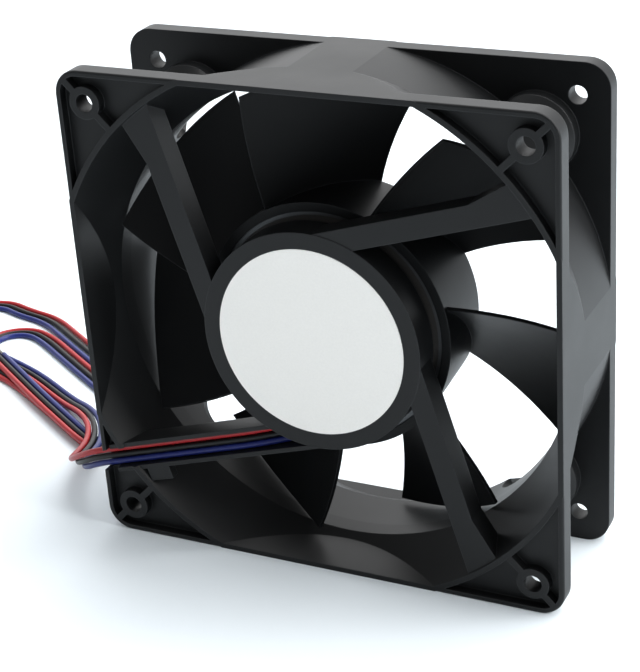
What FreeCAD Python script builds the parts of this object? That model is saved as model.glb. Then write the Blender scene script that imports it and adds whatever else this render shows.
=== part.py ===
"""Axial cooling fan for a server: square frame, brushless outer-rotor motor, seven blades, three leads.

Sizes are in millimetres. The pieces are drawn face-on: X to the right, Y up, Z along the fan axis
towards the outlet (the face with the struts), with the axis at the origin and the middle of the
depth at Z = 0. Every piece is then stood up on its lower edge: the outlet faces -Y and up is +Z.
"""
import FreeCAD
import Part
import math
import os

V = FreeCAD.Vector

# Frame: two square flanges joined by a round duct with a slightly drafted bore
SIDE = 120.0
DEPTH = 38.0
FLANGE = 4.6
CORNER_R = 6.0
EDGE_ROUND = 0.5
HOLE_INSET = 7.5
HOLE_D = 4.3
BORE_MARGIN = 2.5
BORE_DRAFT = 0.4
DUCT_WALL = 3.0

# Outlet flare, open into the four corners, with a pocket beyond it round each mounting hole
FLARE = 7.5
FLARE_DEPTH = 14.8
RIM = 1.3
POCKET_DEPTH = 2.4
BOSS_D = 7.8
CORNER_RIB = 1.6

# Inlet: a short flare, and sloping round scoops on the diagonals that lead air in from the corners
INLET_FLARE = 3.5
INLET_FLARE_DEPTH = 7.0
SCOOP_RUN = 11.6
SCOOP_WIDTH = 16.0
SCOOP_LIP = 6.0
SCOOP_DEPTH = 14.0
SCOOP_WALL = 1.6

# Motor base on four struts at the outlet; each strut runs past the axis at STRUT_OFFSET,
# and its foot widens from a share of its length
BASE_R = 27.0
BASE_RECESS = 0.4
BASE_PLATE = 2.6
BASE_SKIRT = 1.8
SKIRT_HEIGHT = 7.6
STRUT_OFFSET = BASE_R - 4.6
STRUT_TILT = 16.7
STRUT_WIDTH = 5.4
STRUT_DROP = 0.6
STRUT_HEIGHT = 6.0
STRUT_COUNT = 4
FOOT_SHARE = 0.73
FOOT_SPREAD = 5.0
LABEL_MARGIN = 4.0
LABEL_THICK = 0.2
LABEL_PLAY = 0.1

# Leads, and the channel along one strut that carries them out to the side of the frame
LEAD_D = 1.6
LEAD_PITCH = 1.75
LEAD_PLAY = 0.1
CHANNEL_WALL = 1.1
CHANNEL_DEPTH = 3.2
CHANNEL_START = 30.5
TERMINAL = 2.0
TERMINAL_SHARE = 0.8
TAB_START, TAB_LENGTH, TAB_WIDTH, TAB_THICK = 51.0, 6.5, 3.4, 2.4

# Impeller; the three blade sections stand on planes at rising distances from the axis and are
# given by the angles of their trailing and leading edges
BLADE_COUNT = 7
TIP_GAP = 1.0
ROTOR_GAP = 1.6
HUB_OVERHANG = 3.6
HUB_HEIGHT = 22.4
HUB_TAPER = 1.3
HUB_WALL = 2.2
HUB_EDGE = 2.2
HUB_FRONT = 1.8
BLADE_OUTLET_INSET = 1.4
BLADE_INLET_INSET = 1.0
BLADE_THICK = 1.9
BLADE_EDGE = 0.9
BLADE_CAMBER = 0.075
BLADE_START = -9.0
BLADE_SINK = 7.6
ROOT_TRAIL, ROOT_LEAD = 26.6, -15.2
MID_TRAIL, MID_LEAD = 20.2, -17.8
TIP_TRAIL, TIP_LEAD = 14.9, -23.9

# Rotor: steel cup and ring magnet inside the hub, shaft in a brass bush
CUP_WALL = 1.0
CUP_RIM_INSET = 0.6
MAGNET_THICK = 2.8
MAGNET_LENGTH = 16.9
MAGNET_INSET = 0.5
SHAFT_D = 3.0
SHAFT_STUB = 0.8
BUSH_R = 4.5
BUSH_FLANGE_R = 6.5
BUSH_FLANGE = 0.9
CLIP_R = 2.15
CLIP_THICK = 0.4
CLIP_GROOVE = 0.25
WASHER_HEIGHT = 1.0
WASHER_EDGE = 0.2

# Shielded ball bearings, one at each end of the brass tube in the motor base
BEARING_OD = 8.0
BEARING_WIDTH = 4.0
BEARING_SPAN = 16.4
RACE_STEP = 0.68
SHIELD = 0.25
SHIELD_PLAY = 0.1
SHAFT_ROOM = 1.6
TUBE_WALL = 1.4
TUBE_LAND = 0.7
BOSS_WALL = 2.6

# Stator with four wound poles, and the driver board under the motor base
AIR_GAP = 0.5
CORE_LENGTH = 11.0
CORE_HUB = 4.0
POLE_COUNT = 4
POLE_WIDTH = 5.0
SHOE = 3.2
SHOE_SLOT = 6.0
INSULATOR = 1.0
INSULATOR_LAP = 0.1
COIL_BUILD = 1.8
COIL_SIDE = 3.0
COIL_CLEAR = 0.1
COLLAR_WIDTH = 4.5
SPIGOT_WIDTH = 2.5
BOARD_DROP = 0.6
BOARD_LIFT = 3.4
BOARD_THICK = 1.2
BOARD_EDGE_GAP = 0.2
BOARD_PLAY = 0.1
BOARD_CLEAR = 1.0
PART_INSET = 7.5
HALL = (1.6, 4.0, 2.4)
CHIP = (6.0, 5.0, 1.6)
CHIP_ANGLE = 150.0
CAPACITOR_D = 4.4
CAPACITOR_H = 3.6

# Loose hank of the leads on the floor, placed from the lower left edge of the outlet face
HANK_RIGHT = (-16.0, 37.0)
HANK_LEFT = (-101.5, 92.6)
HANK_HALF_WIDTH = 10.0
HANK_STRAND = 8.5
HANK_HEIGHT = 5.0

# Heights along the axis, counted down from the outlet face, and radii that follow from the above
OUTLET_Z = DEPTH / 2
INLET_Z = -DEPTH / 2
BASE_Z = OUTLET_Z - BASE_RECESS
PLATE_UNDER_Z = BASE_Z - BASE_PLATE
SKIRT_END_Z = BASE_Z - SKIRT_HEIGHT
STRUT_TOP_Z = OUTLET_Z - STRUT_DROP
STRUT_UNDER_Z = STRUT_TOP_Z - STRUT_HEIGHT
HUB_RIM_Z = SKIRT_END_Z - ROTOR_GAP
HUB_NOSE_Z = HUB_RIM_Z - HUB_HEIGHT
CUP_FLOOR_Z = HUB_NOSE_Z + HUB_FRONT
CUP_RIM_Z = HUB_RIM_Z - CUP_RIM_INSET
MAGNET_TOP_Z = CUP_RIM_Z - MAGNET_INSET
OUTLET_BEARING_Z = PLATE_UNDER_Z - SHAFT_ROOM - BEARING_WIDTH
INLET_BEARING_Z = OUTLET_BEARING_Z - BEARING_SPAN
SHAFT_GROOVE_Z = OUTLET_BEARING_Z + BEARING_WIDTH
BUSH_END_Z = INLET_BEARING_Z - WASHER_HEIGHT
BOARD_Z = SKIRT_END_Z - BOARD_DROP
BOARD_TOP_Z = BOARD_Z + BOARD_THICK
CORE_TOP_Z = BOARD_Z - BOARD_LIFT
CORE_END_Z = CORE_TOP_Z - CORE_LENGTH
BORE_R = SIDE / 2 - BORE_MARGIN
FLARE_R = BORE_R + FLARE
TIP_R = BORE_R - TIP_GAP
HOLE_AT = SIDE / 2 - HOLE_INSET
SKIRT_IN_R = BASE_R - BASE_SKIRT
LABEL_R = BASE_R - LABEL_MARGIN
HUB_RIM_R = BASE_R + HUB_OVERHANG
HUB_NOSE_R = HUB_RIM_R - HUB_TAPER
CUP_R = HUB_RIM_R - HUB_WALL
MAGNET_R = CUP_R - CUP_WALL
MAGNET_IN_R = MAGNET_R - MAGNET_THICK
STATOR_R = MAGNET_IN_R - AIR_GAP
SHOE_IN_R = STATOR_R - SHOE
SHAFT_R = SHAFT_D / 2
BEARING_R = BEARING_OD / 2
TUBE_R = BEARING_R + TUBE_WALL
BOARD_R = SKIRT_IN_R - BOARD_EDGE_GAP
PART_RING_R = BOARD_R - PART_INSET
COLLAR_R = TUBE_R + COLLAR_WIDTH
SPIGOT_R = TUBE_R + SPIGOT_WIDTH
LEAD_R = LEAD_D / 2
CHANNEL_HALF = LEAD_PITCH + LEAD_R + LEAD_PLAY
CHANNEL_FLOOR_Z = STRUT_TOP_Z - CHANNEL_DEPTH
CHANNEL_LEAD_Z = CHANNEL_FLOOR_Z + LEAD_PLAY + LEAD_R
INNER_LEAD_Z = PLATE_UNDER_Z - LEAD_D
AXIS = V(0, 0, 1)
ORIGIN = V(0, 0, 0)
NEAR = 0.01

# Route of the middle lead. In the channel: distance along the strut, and height. On the way down to
# the floor: place from the lower left edge of the outlet face, and the way towards the red lead there.
LEAD_PLACES = {"red": -1, "black": 0, "blue": 1}
LEAD_START = 3.0
LEAD_EXIT = 13.0
CHANNEL_STOPS = ((LEAD_START, INNER_LEAD_Z), (14.0, INNER_LEAD_Z), (25.0, CHANNEL_LEAD_Z),
                 (SIDE / 2 + LEAD_EXIT, CHANNEL_LEAD_Z))
FLOOR_STOPS = (((-11.0, 6.0, 13.0), (-0.62, -0.10, 0.70)),
               ((-16.5, 12.0, 8.8), (-0.80, -0.35, 0.40)),
               ((-20.0, 20.0, 6.2), (-0.88, -0.45, 0.10)),
               ((-23.0, 30.0, 4.2), (-0.93, -0.36, 0.0)))
FLOOR_PITCH = 2.0
ARC_SHARE = 0.45

nodes = {}


def turned(profile):
    """Solid of revolution about the fan axis from its (radius, height) corners."""
    points = [V(radius, 0, height) for radius, height in profile]
    face = Part.Face(Part.makePolygon(points + points[:1]))
    return face.revolve(ORIGIN, AXIS, 360)


def ring(outer, inner, low, high):
    """Plain ring about the fan axis."""
    return turned([(inner, low), (outer, low), (outer, high), (inner, high)])


def disc(radius, low, high, x=0.0, y=0.0):
    """Round plug parallel to the fan axis."""
    return Part.makeCylinder(radius, high - low, V(x, y, low), AXIS)


def prism(corners, low, high):
    """Straight prism on a polygon drawn in the face plane."""
    points = [V(x, y, low) for x, y in corners]
    face = Part.Face(Part.makePolygon(points + points[:1]))
    return face.extrude(V(0, 0, high - low))


def block(x_range, y_range, z_range):
    """Box between two limits along each direction."""
    size = [high - low for low, high in (x_range, y_range, z_range)]
    return Part.makeBox(*size, V(x_range[0], y_range[0], z_range[0]))


def spun(shape, degrees):
    """Copy of a shape turned about the fan axis."""
    copy = shape.copy()
    copy.rotate(ORIGIN, AXIS, degrees)
    return copy


def pattern(shape, count):
    """Copies of a shape spaced evenly about the fan axis."""
    return [spun(shape, 360.0 * step / count) for step in range(count)]


def edges_at(shape, height):
    """Edges of a shape that lie flat at one height."""
    return [edge for edge in shape.Edges
            if abs(edge.BoundBox.ZMin - height) < NEAR and abs(edge.BoundBox.ZMax - height) < NEAR]


def square_plate(side, radius, low, high):
    """Square plate with rounded corners."""
    half = side / 2
    plate = block((-half, half), (-half, half), (low, high))
    upright = [edge for edge in plate.Edges if edge.BoundBox.ZLength > NEAR]
    return plate.makeFillet(radius, upright)


def flange(low, high, face_z):
    """Flange plate with the outer edge of its mounting face rounded off."""
    plate = square_plate(SIDE, CORNER_R, low, high)
    return plate.makeFillet(EDGE_ROUND, edges_at(plate, face_z))


def scoop(wall):
    """Round inlet scoop in one corner, slanted into the bore and grown by a wall for its outside."""
    radius = SCOOP_WIDTH / 2 + wall
    middle = BORE_R + SCOOP_RUN - SCOOP_WIDTH / 2
    lip = INLET_Z + SCOOP_LIP + wall
    mouth = disc(radius, INLET_Z, lip, middle)
    end = Part.Face(Part.Wire(Part.makeCircle(radius, V(middle, 0, lip), AXIS)))
    throat = end.extrude(V(-SCOOP_RUN, 0, SCOOP_DEPTH - SCOOP_LIP))
    return spun(mouth.fuse(throat), 45)


def strut_point(along, aside):
    """Point of the strut drawn to the right from the top of the base, along and across its line."""
    tilt = math.radians(STRUT_TILT)
    across = STRUT_OFFSET + aside
    return (math.cos(tilt) * along - math.sin(tilt) * across,
            math.sin(tilt) * along + math.cos(tilt) * across)


def strut_bar(start, end, low_side, high_side, low, high):
    """Straight bar along the strut line between two offsets from it."""
    corners = [(start, low_side), (end, low_side), (end, high_side), (start, high_side)]
    return prism([strut_point(*corner) for corner in corners], low, high)


def channel_bar(start, end, half, low, high):
    """Bar along the strut that carries the leads, which runs left from the bottom of the base."""
    return spun(strut_bar(start, end, -half, half, low, high), 180)


def frame_envelope():
    """Outside of the moulded frame: flanges, duct, outlet flare and inlet scoops, still solid."""
    outside = square_plate(SIDE, CORNER_R, INLET_Z, OUTLET_Z)
    duct_r = BORE_R + DUCT_WALL
    flare_z = OUTLET_Z - FLARE_DEPTH
    duct = turned([(0, INLET_Z), (duct_r, INLET_Z), (duct_r, flare_z), (FLARE_R + RIM, OUTLET_Z),
                   (0, OUTLET_Z)])
    body = duct.fuse(pattern(scoop(SCOOP_WALL), 4)).common(outside)
    outlet_flange = flange(OUTLET_Z - FLANGE, OUTLET_Z, OUTLET_Z)
    inlet_flange = flange(INLET_Z, INLET_Z + FLANGE, INLET_Z)
    return body.fuse([outlet_flange, inlet_flange])


def air_passage():
    """Everything the air passes through: drafted bore, flares at both ends and inlet scoops."""
    end_r = BORE_R + BORE_DRAFT
    bore = turned([(0, INLET_Z), (end_r, INLET_Z), (BORE_R, 0), (end_r, OUTLET_Z), (0, OUTLET_Z)])
    outlet_z = OUTLET_Z - FLARE_DEPTH
    outlet_cone = turned([(0, outlet_z), (BORE_R, outlet_z), (FLARE_R, OUTLET_Z), (0, OUTLET_Z)])
    inlet_z = INLET_Z + INLET_FLARE_DEPTH
    inlet_r = BORE_R + INLET_FLARE
    inlet_cone = turned([(0, INLET_Z), (inlet_r, INLET_Z), (BORE_R, inlet_z), (0, inlet_z)])
    inset = square_plate(SIDE - 2 * RIM, CORNER_R, INLET_Z, OUTLET_Z)
    flares = [cone.common(inset) for cone in (outlet_cone, inlet_cone)]
    return bore.fuse(flares + pattern(scoop(0), 4))


def corner_pocket():
    """Recess round one mounting hole on the outlet face, with its boss and ribs left standing."""
    low = OUTLET_Z - POCKET_DEPTH
    half = SIDE / 2 - RIM
    recess = square_plate(2 * half, CORNER_R - RIM, low, OUTLET_Z)
    recess = recess.common(block((0, half), (0, half), (low, OUTLET_Z)))
    rib = block((FLARE_R, SIDE), (-CORNER_RIB / 2, CORNER_RIB / 2), (low, OUTLET_Z))
    boss = disc(BOSS_D / 2, low, OUTLET_Z, HOLE_AT, HOLE_AT)
    return recess.cut([disc(FLARE_R + RIM, low, OUTLET_Z), boss, spun(rib, 45)])


def strut():
    """Plain strut with a foot that widens where it joins the wall of the flare, which ends it."""
    half = STRUT_WIDTH / 2
    reach = FLARE_R + RIM
    bar = strut_bar(0, reach, -half, half, STRUT_UNDER_Z, STRUT_TOP_Z)
    foot = [strut_point(FOOT_SHARE * reach, half), strut_point(reach, half),
            strut_point(reach, half + FOOT_SPREAD)]
    whole = bar.fuse(prism(foot, STRUT_UNDER_Z, STRUT_TOP_Z))
    return whole.common(disc(FLARE_R + RIM / 2, STRUT_UNDER_Z, STRUT_TOP_Z))


def channel_strut():
    """Wider strut for the leads, with a small keeper tab under it near its outer end."""
    half = CHANNEL_HALF + CHANNEL_WALL
    bar = channel_bar(0, FLARE_R + RIM, half, STRUT_UNDER_Z, STRUT_TOP_Z)
    tab = strut_bar(TAB_START, TAB_START + TAB_LENGTH, half, half + TAB_WIDTH,
                    STRUT_TOP_Z - TAB_THICK, STRUT_TOP_Z)
    return bar.fuse(spun(tab, 180))


def lead_channel():
    """Room for the leads: a slot under the base plate, a deep start and the channel out to the side."""
    deep = INNER_LEAD_Z - LEAD_R - LEAD_PLAY
    slot = channel_bar(0, CHANNEL_START, CHANNEL_HALF, deep, PLATE_UNDER_Z)
    start = channel_bar(0, CHANNEL_START, CHANNEL_HALF, deep, OUTLET_Z)
    groove = channel_bar(CHANNEL_START, SIDE, CHANNEL_HALF, CHANNEL_FLOOR_Z, OUTLET_Z)
    return [slot, start.cut(disc(BASE_R, deep, OUTLET_Z)), groove]


def motor_base():
    """Shallow cup that closes the motor, with a boss for the bearing tube."""
    cup = turned([(0, BASE_Z), (BASE_R, BASE_Z), (BASE_R, SKIRT_END_Z), (SKIRT_IN_R, SKIRT_END_Z),
                  (SKIRT_IN_R, PLATE_UNDER_Z), (0, PLATE_UNDER_Z)])
    return cup.fuse(ring(TUBE_R + BOSS_WALL, TUBE_R, BOARD_TOP_Z + BOARD_CLEAR, PLATE_UNDER_Z))


def frame():
    """One moulding: flanges, duct, struts and motor base."""
    envelope = frame_envelope()
    hole = disc(HOLE_D / 2, INLET_Z, OUTLET_Z, HOLE_AT, HOLE_AT)
    shell = envelope.cut([air_passage()] + pattern(corner_pocket(), 4) + pattern(hole, 4))
    plain = [bar for step, bar in enumerate(pattern(strut(), STRUT_COUNT)) if step != STRUT_COUNT // 2]
    inside_base = disc(SKIRT_IN_R, SKIRT_END_Z, PLATE_UNDER_Z)
    bars = [bar.common(envelope).cut(inside_base) for bar in plain + [channel_strut()]]
    label_seat = disc(LABEL_R + LABEL_PLAY, BASE_Z - LABEL_THICK, BASE_Z)
    body = shell.fuse(motor_base().fuse(bars))
    return body.cut(lead_channel() + [label_seat]).removeSplitter()


def blade_section(distance, trail, lead):
    """Closed outline of one blade on a plane square to the blade's middle line."""
    inlet = HUB_NOSE_Z + BLADE_INLET_INSET
    outlet = HUB_RIM_Z - BLADE_OUTLET_INSET
    leading = V(distance, distance * math.tan(math.radians(lead)), inlet)
    trailing = V(distance, distance * math.tan(math.radians(trail)), outlet)
    chord = trailing - leading
    normal = V(0, -chord.z, chord.y).normalize()
    middle = (leading + trailing) / 2 - normal * (BLADE_CAMBER * chord.Length)
    edge = normal * (BLADE_EDGE / 2)
    belly = normal * (BLADE_THICK / 2)
    back = Part.Arc(leading + edge, middle + belly, trailing + edge)
    front = Part.Arc(trailing - edge, middle - belly, leading - edge)
    trail_edge = Part.LineSegment(trailing + edge, trailing - edge)
    lead_edge = Part.LineSegment(leading - edge, leading + edge)
    return Part.Wire([curve.toShape() for curve in (back, trail_edge, front, lead_edge)])


def impeller():
    """Hub with twisted, cambered blades trimmed to the tip circle."""
    hub = turned([(0, HUB_NOSE_Z), (HUB_NOSE_R, HUB_NOSE_Z), (HUB_RIM_R, HUB_RIM_Z), (CUP_R, HUB_RIM_Z),
                  (CUP_R, CUP_FLOOR_Z), (0, CUP_FLOOR_Z)])
    hub = hub.makeFillet(HUB_EDGE, edges_at(hub, HUB_NOSE_Z))
    root = HUB_RIM_R - BLADE_SINK
    middle = (root + TIP_R) / 2
    sections = [blade_section(root, ROOT_TRAIL, ROOT_LEAD), blade_section(middle, MID_TRAIL, MID_LEAD),
                blade_section(TIP_R, TIP_TRAIL, TIP_LEAD)]
    blade = Part.makeLoft(sections, True)
    inside_wall = (CUP_R + HUB_NOSE_R) / 2
    blade = spun(blade.common(ring(TIP_R, inside_wall, INLET_Z, OUTLET_Z)), BLADE_START)
    return hub.fuse(pattern(blade, BLADE_COUNT))


def rotor_cup():
    """Deep-drawn steel cup lining the hub."""
    floor = CUP_FLOOR_Z + CUP_WALL
    return turned([(BUSH_R, CUP_FLOOR_Z), (CUP_R, CUP_FLOOR_Z), (CUP_R, CUP_RIM_Z), (MAGNET_R, CUP_RIM_Z),
                   (MAGNET_R, floor), (BUSH_R, floor)])


def shaft():
    """Ground steel shaft with a groove for its retaining clip."""
    neck = SHAFT_R - CLIP_GROOVE
    groove_top = SHAFT_GROOVE_Z + CLIP_THICK
    end = SHAFT_GROOVE_Z + SHAFT_STUB
    return turned([(0, CUP_FLOOR_Z), (SHAFT_R, CUP_FLOOR_Z), (SHAFT_R, SHAFT_GROOVE_Z),
                   (neck, SHAFT_GROOVE_Z), (neck, groove_top), (SHAFT_R, groove_top),
                   (SHAFT_R, end), (0, end)])


def shaft_bush():
    """Brass bush, riveted in the cup and pressed on the shaft."""
    seat = CUP_FLOOR_Z + CUP_WALL
    step = seat + BUSH_FLANGE
    return turned([(SHAFT_R, CUP_FLOOR_Z), (BUSH_R, CUP_FLOOR_Z), (BUSH_R, seat), (BUSH_FLANGE_R, seat),
                   (BUSH_FLANGE_R, step), (BUSH_R, step), (BUSH_R, BUSH_END_Z), (SHAFT_R, BUSH_END_Z)])


def retaining_clip():
    """Open spring ring in the groove of the shaft, resting on the inner ring of the outlet bearing."""
    neck = SHAFT_R - CLIP_GROOVE
    top = SHAFT_GROOVE_Z + CLIP_THICK
    mouth = block((0, CLIP_R), (-neck / 2, neck / 2), (SHAFT_GROOVE_Z, top))
    return ring(CLIP_R, neck, SHAFT_GROOVE_Z, top).cut(mouth)


def preload_washer():
    """Dished spring washer between the bush and the inner ring of the inlet bearing."""
    inner = SHAFT_R + SHIELD_PLAY
    outer = SHAFT_R + RACE_STEP
    return turned([(inner, BUSH_END_Z), (inner + WASHER_EDGE, BUSH_END_Z), (outer, INLET_BEARING_Z),
                   (outer - WASHER_EDGE, INLET_BEARING_Z)])


def bearing(low):
    """Outer ring, inner ring and pair of shields of one bearing that starts at a height."""
    high = low + BEARING_WIDTH
    step_out = BEARING_R - RACE_STEP
    step_in = SHAFT_R + RACE_STEP
    outer = ring(BEARING_R, step_out, low, high)
    inner = ring(step_in, SHAFT_R, low, high)
    shields = [ring(step_out, step_in + SHIELD_PLAY, z, z + SHIELD) for z in (low, high - SHIELD)]
    return outer, inner, Part.makeCompound(shields)


def bearing_tube():
    """Brass tube with an inner land that keeps the two bearings apart."""
    land = BEARING_R - TUBE_LAND
    land_low = INLET_BEARING_Z + BEARING_WIDTH
    return turned([(BEARING_R, INLET_BEARING_Z), (TUBE_R, INLET_BEARING_Z), (TUBE_R, PLATE_UNDER_Z),
                   (BEARING_R, PLATE_UNDER_Z), (BEARING_R, OUTLET_BEARING_Z), (land, OUTLET_BEARING_Z),
                   (land, land_low), (BEARING_R, land_low)])


def pole_plan(low, high, lap):
    """Hub, poles and shoes of the stator as a plate; lap widens the poles and trims the shoes."""
    hub = ring(TUBE_R + CORE_HUB, TUBE_R, low, high)
    half = POLE_WIDTH / 2 + lap
    pole = block((TUBE_R + CORE_HUB / 2, SHOE_IN_R + SHOE / 2), (-half, half), (low, high))
    gap = SHOE_SLOT / 2 - lap
    slot = spun(block((0, SIDE), (-gap, gap), (low, high)), 180 / POLE_COUNT)
    shoes = ring(STATOR_R - lap, SHOE_IN_R, low, high).cut(pattern(slot, POLE_COUNT))
    return hub.fuse([shoes] + pattern(pole, POLE_COUNT)).removeSplitter()


def outlet_insulator():
    """Plastic end cap on the board side of the core, with the collar that carries the board."""
    cap = pole_plan(CORE_TOP_Z, CORE_TOP_Z + INSULATOR, INSULATOR_LAP)
    shoulder = ring(COLLAR_R, TUBE_R, CORE_TOP_Z, BOARD_Z)
    spigot = ring(SPIGOT_R, TUBE_R, CORE_TOP_Z, BOARD_TOP_Z)
    return cap.fuse([shoulder, spigot]).removeSplitter()


def inlet_insulator():
    """Plastic end cap on the far side of the core."""
    return pole_plan(CORE_END_Z - INSULATOR, CORE_END_Z, INSULATOR_LAP)


def coil():
    """Winding round the insulated pole that points right, kept clear of the shoe."""
    half = POLE_WIDTH / 2 + INSULATOR_LAP
    side = half + COIL_SIDE
    low = CORE_END_Z - INSULATOR
    high = CORE_TOP_Z + INSULATOR
    start = COLLAR_R + COIL_CLEAR
    end = math.sqrt((SHOE_IN_R - COIL_CLEAR) ** 2 - side ** 2)
    outer = block((start, end), (-side, side), (low - COIL_BUILD, high + COIL_BUILD))
    along = [edge for edge in outer.Edges if edge.BoundBox.XLength > NEAR]
    outer = outer.makeFillet(COIL_BUILD - COIL_CLEAR, along)
    return outer.cut(block((start, end), (-half, half), (low, high)))


def driver_board():
    """Round printed board on the collar of the insulator."""
    return ring(BOARD_R, SPIGOT_R + BOARD_PLAY, BOARD_Z, BOARD_TOP_Z)


def board_block(size, radius, low, degrees):
    """Small square part of the board, at a distance from the axis and an angle round it."""
    radial, across, height = size
    inner = radius - radial / 2
    piece = block((inner, inner + radial), (-across / 2, across / 2), (low, low + height))
    return spun(piece, degrees)


def lead_terminals():
    """Solder posts on the board, one at the end of each lead."""
    half = LEAD_R * TERMINAL_SHARE
    top = INNER_LEAD_Z + half
    asides = [place * LEAD_PITCH for place in LEAD_PLACES.values()]
    posts = [strut_bar(LEAD_START - TERMINAL, LEAD_START, aside - half, aside + half, BOARD_TOP_Z, top)
             for aside in asides]
    return Part.makeCompound([spun(post, 180) for post in posts])


def stood_up(shape):
    """Copy of a shape in the frame of the finished part, standing on its lower edge."""
    copy = shape.copy()
    copy.rotate(ORIGIN, V(1, 0, 0), 90)
    copy.translate(V(0, 0, SIDE / 2))
    return copy


def from_outlet_edge(x, y, z):
    """Point of the finished part, given from the lower left edge of the outlet face."""
    return V(x - SIDE / 2, y - DEPTH / 2, z)


def lead_route(place):
    """Points of one lead in the frame of the finished part; place counts across the channel."""
    points = []
    for along, height in CHANNEL_STOPS:
        x, y = strut_point(along, place * LEAD_PITCH)
        points.append(V(-x, -height, SIDE / 2 - y))
    for stop, aside in FLOOR_STOPS:
        points.append(from_outlet_edge(*stop) - V(*aside) * (place * FLOOR_PITCH))
    return points


def lead_tube(points):
    """Round tube along straight runs joined by tangent arcs; returns it, its length and its arc radii."""
    edges = []
    radii = []
    start = points[0]
    for before, corner, after in zip(points, points[1:], points[2:]):
        back = before - corner
        ahead = after - corner
        turn = math.pi - back.getAngle(ahead)
        reach = ARC_SHARE * min(back.Length, ahead.Length)
        radius = reach / math.tan(turn / 2)
        back.normalize()
        ahead.normalize()
        entry = corner + back * reach
        leave = corner + ahead * reach
        crown = corner + (back + ahead).normalize() * (radius / math.cos(turn / 2) - radius)
        edges.append(Part.LineSegment(start, entry).toShape())
        edges.append(Part.Arc(entry, crown, leave).toShape())
        radii.append(round(radius, 1))
        start = leave
    edges.append(Part.LineSegment(start, points[-1]).toShape())
    path = Part.Wire(edges)
    section = Part.Wire(Part.makeCircle(LEAD_R, points[0], points[1] - points[0]))
    return path.makePipeShell([section], True, False), path.Length, radii


def stadium(right, left, radius):
    """Flat oval round two centres."""
    run = (left - right).normalize() * radius
    aside = V(-run.y, run.x, 0)
    edges = [Part.LineSegment(right + aside, left + aside),
             Part.Arc(left + aside, left + run, left - aside),
             Part.LineSegment(left - aside, right - aside),
             Part.Arc(right - aside, right - run, right + aside)]
    return Part.Face(Part.Wire([edge.toShape() for edge in edges]))


def lead_hank():
    """Closed ring of the loose turns on the floor, with the outer shape of the bundle."""
    right = from_outlet_edge(*HANK_RIGHT, 0)
    left = from_outlet_edge(*HANK_LEFT, 0)
    half = HANK_STRAND / 2
    plan = stadium(right, left, HANK_HALF_WIDTH + half).cut(stadium(right, left, HANK_HALF_WIDTH - half))
    return plan.extrude(V(0, 0, HANK_HEIGHT))


def fan_pieces():
    """Every rigid piece of the fan by name, drawn face-on."""
    capacitor_top = BOARD_TOP_Z + CAPACITOR_H
    hall_radius = STATOR_R - SHOE / 2
    pieces = {
        "frame": frame(),
        "label": disc(LABEL_R, BASE_Z - LABEL_THICK, BASE_Z),
        "impeller": impeller(),
        "rotor_cup": rotor_cup(),
        "ring_magnet": ring(MAGNET_R, MAGNET_IN_R, MAGNET_TOP_Z - MAGNET_LENGTH, MAGNET_TOP_Z),
        "shaft": shaft(),
        "shaft_bush": shaft_bush(),
        "retaining_clip": retaining_clip(),
        "preload_washer": preload_washer(),
        "bearing_tube": bearing_tube(),
        "stator_core": pole_plan(CORE_END_Z, CORE_TOP_Z, 0),
        "inlet_insulator": inlet_insulator(),
        "outlet_insulator": outlet_insulator(),
        "driver_board": driver_board(),
        "hall_sensor": board_block(HALL, hall_radius, BOARD_Z - HALL[2], 180 / POLE_COUNT),
        "driver_chip": board_block(CHIP, PART_RING_R, BOARD_TOP_Z, CHIP_ANGLE),
        "board_capacitor": disc(CAPACITOR_D / 2, BOARD_TOP_Z, capacitor_top, PART_RING_R),
        "lead_terminals": lead_terminals(),
    }
    for step, winding in enumerate(pattern(coil(), POLE_COUNT)):
        pieces[f"coil_{step + 1}"] = winding
    for end, low in (("outlet", OUTLET_BEARING_Z), ("inlet", INLET_BEARING_Z)):
        for name, piece in zip(("outer_ring", "inner_ring", "shields"), bearing(low)):
            pieces[f"{end}_bearing_{name}"] = piece
    return pieces


def build():
    """Stand the fan up and lay its leads."""
    for name, piece in fan_pieces().items():
        nodes[name] = stood_up(piece)
    for colour, place in LEAD_PLACES.items():
        tube, length, radii = lead_tube(lead_route(place))
        nodes[f"lead_{colour}"] = tube
        share = tube.Volume / (math.pi * LEAD_R ** 2 * length)
        print(f"lead_{colour}: {length:.1f} long, volume share {share:.3f}, arc radii {radii}")
    nodes["lead_hank"] = lead_hank()


build()
os.makedirs("parts", exist_ok=True)
for node_name, node_shape in nodes.items():
    node_shape.exportStep(f"parts/{node_name}.step")
    print(f"{node_name}: {len(node_shape.Solids)} solids, valid {node_shape.isValid()}")
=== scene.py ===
"""Looks of a cooling fan: finishes for its CAD pieces, wire turns on its poles, free leads and a studio."""
import logging
import math
from abc import ABC, abstractmethod
from dataclasses import dataclass
from enum import Enum
from typing import Any

import bpy
from mathutils import Matrix, Vector


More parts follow.
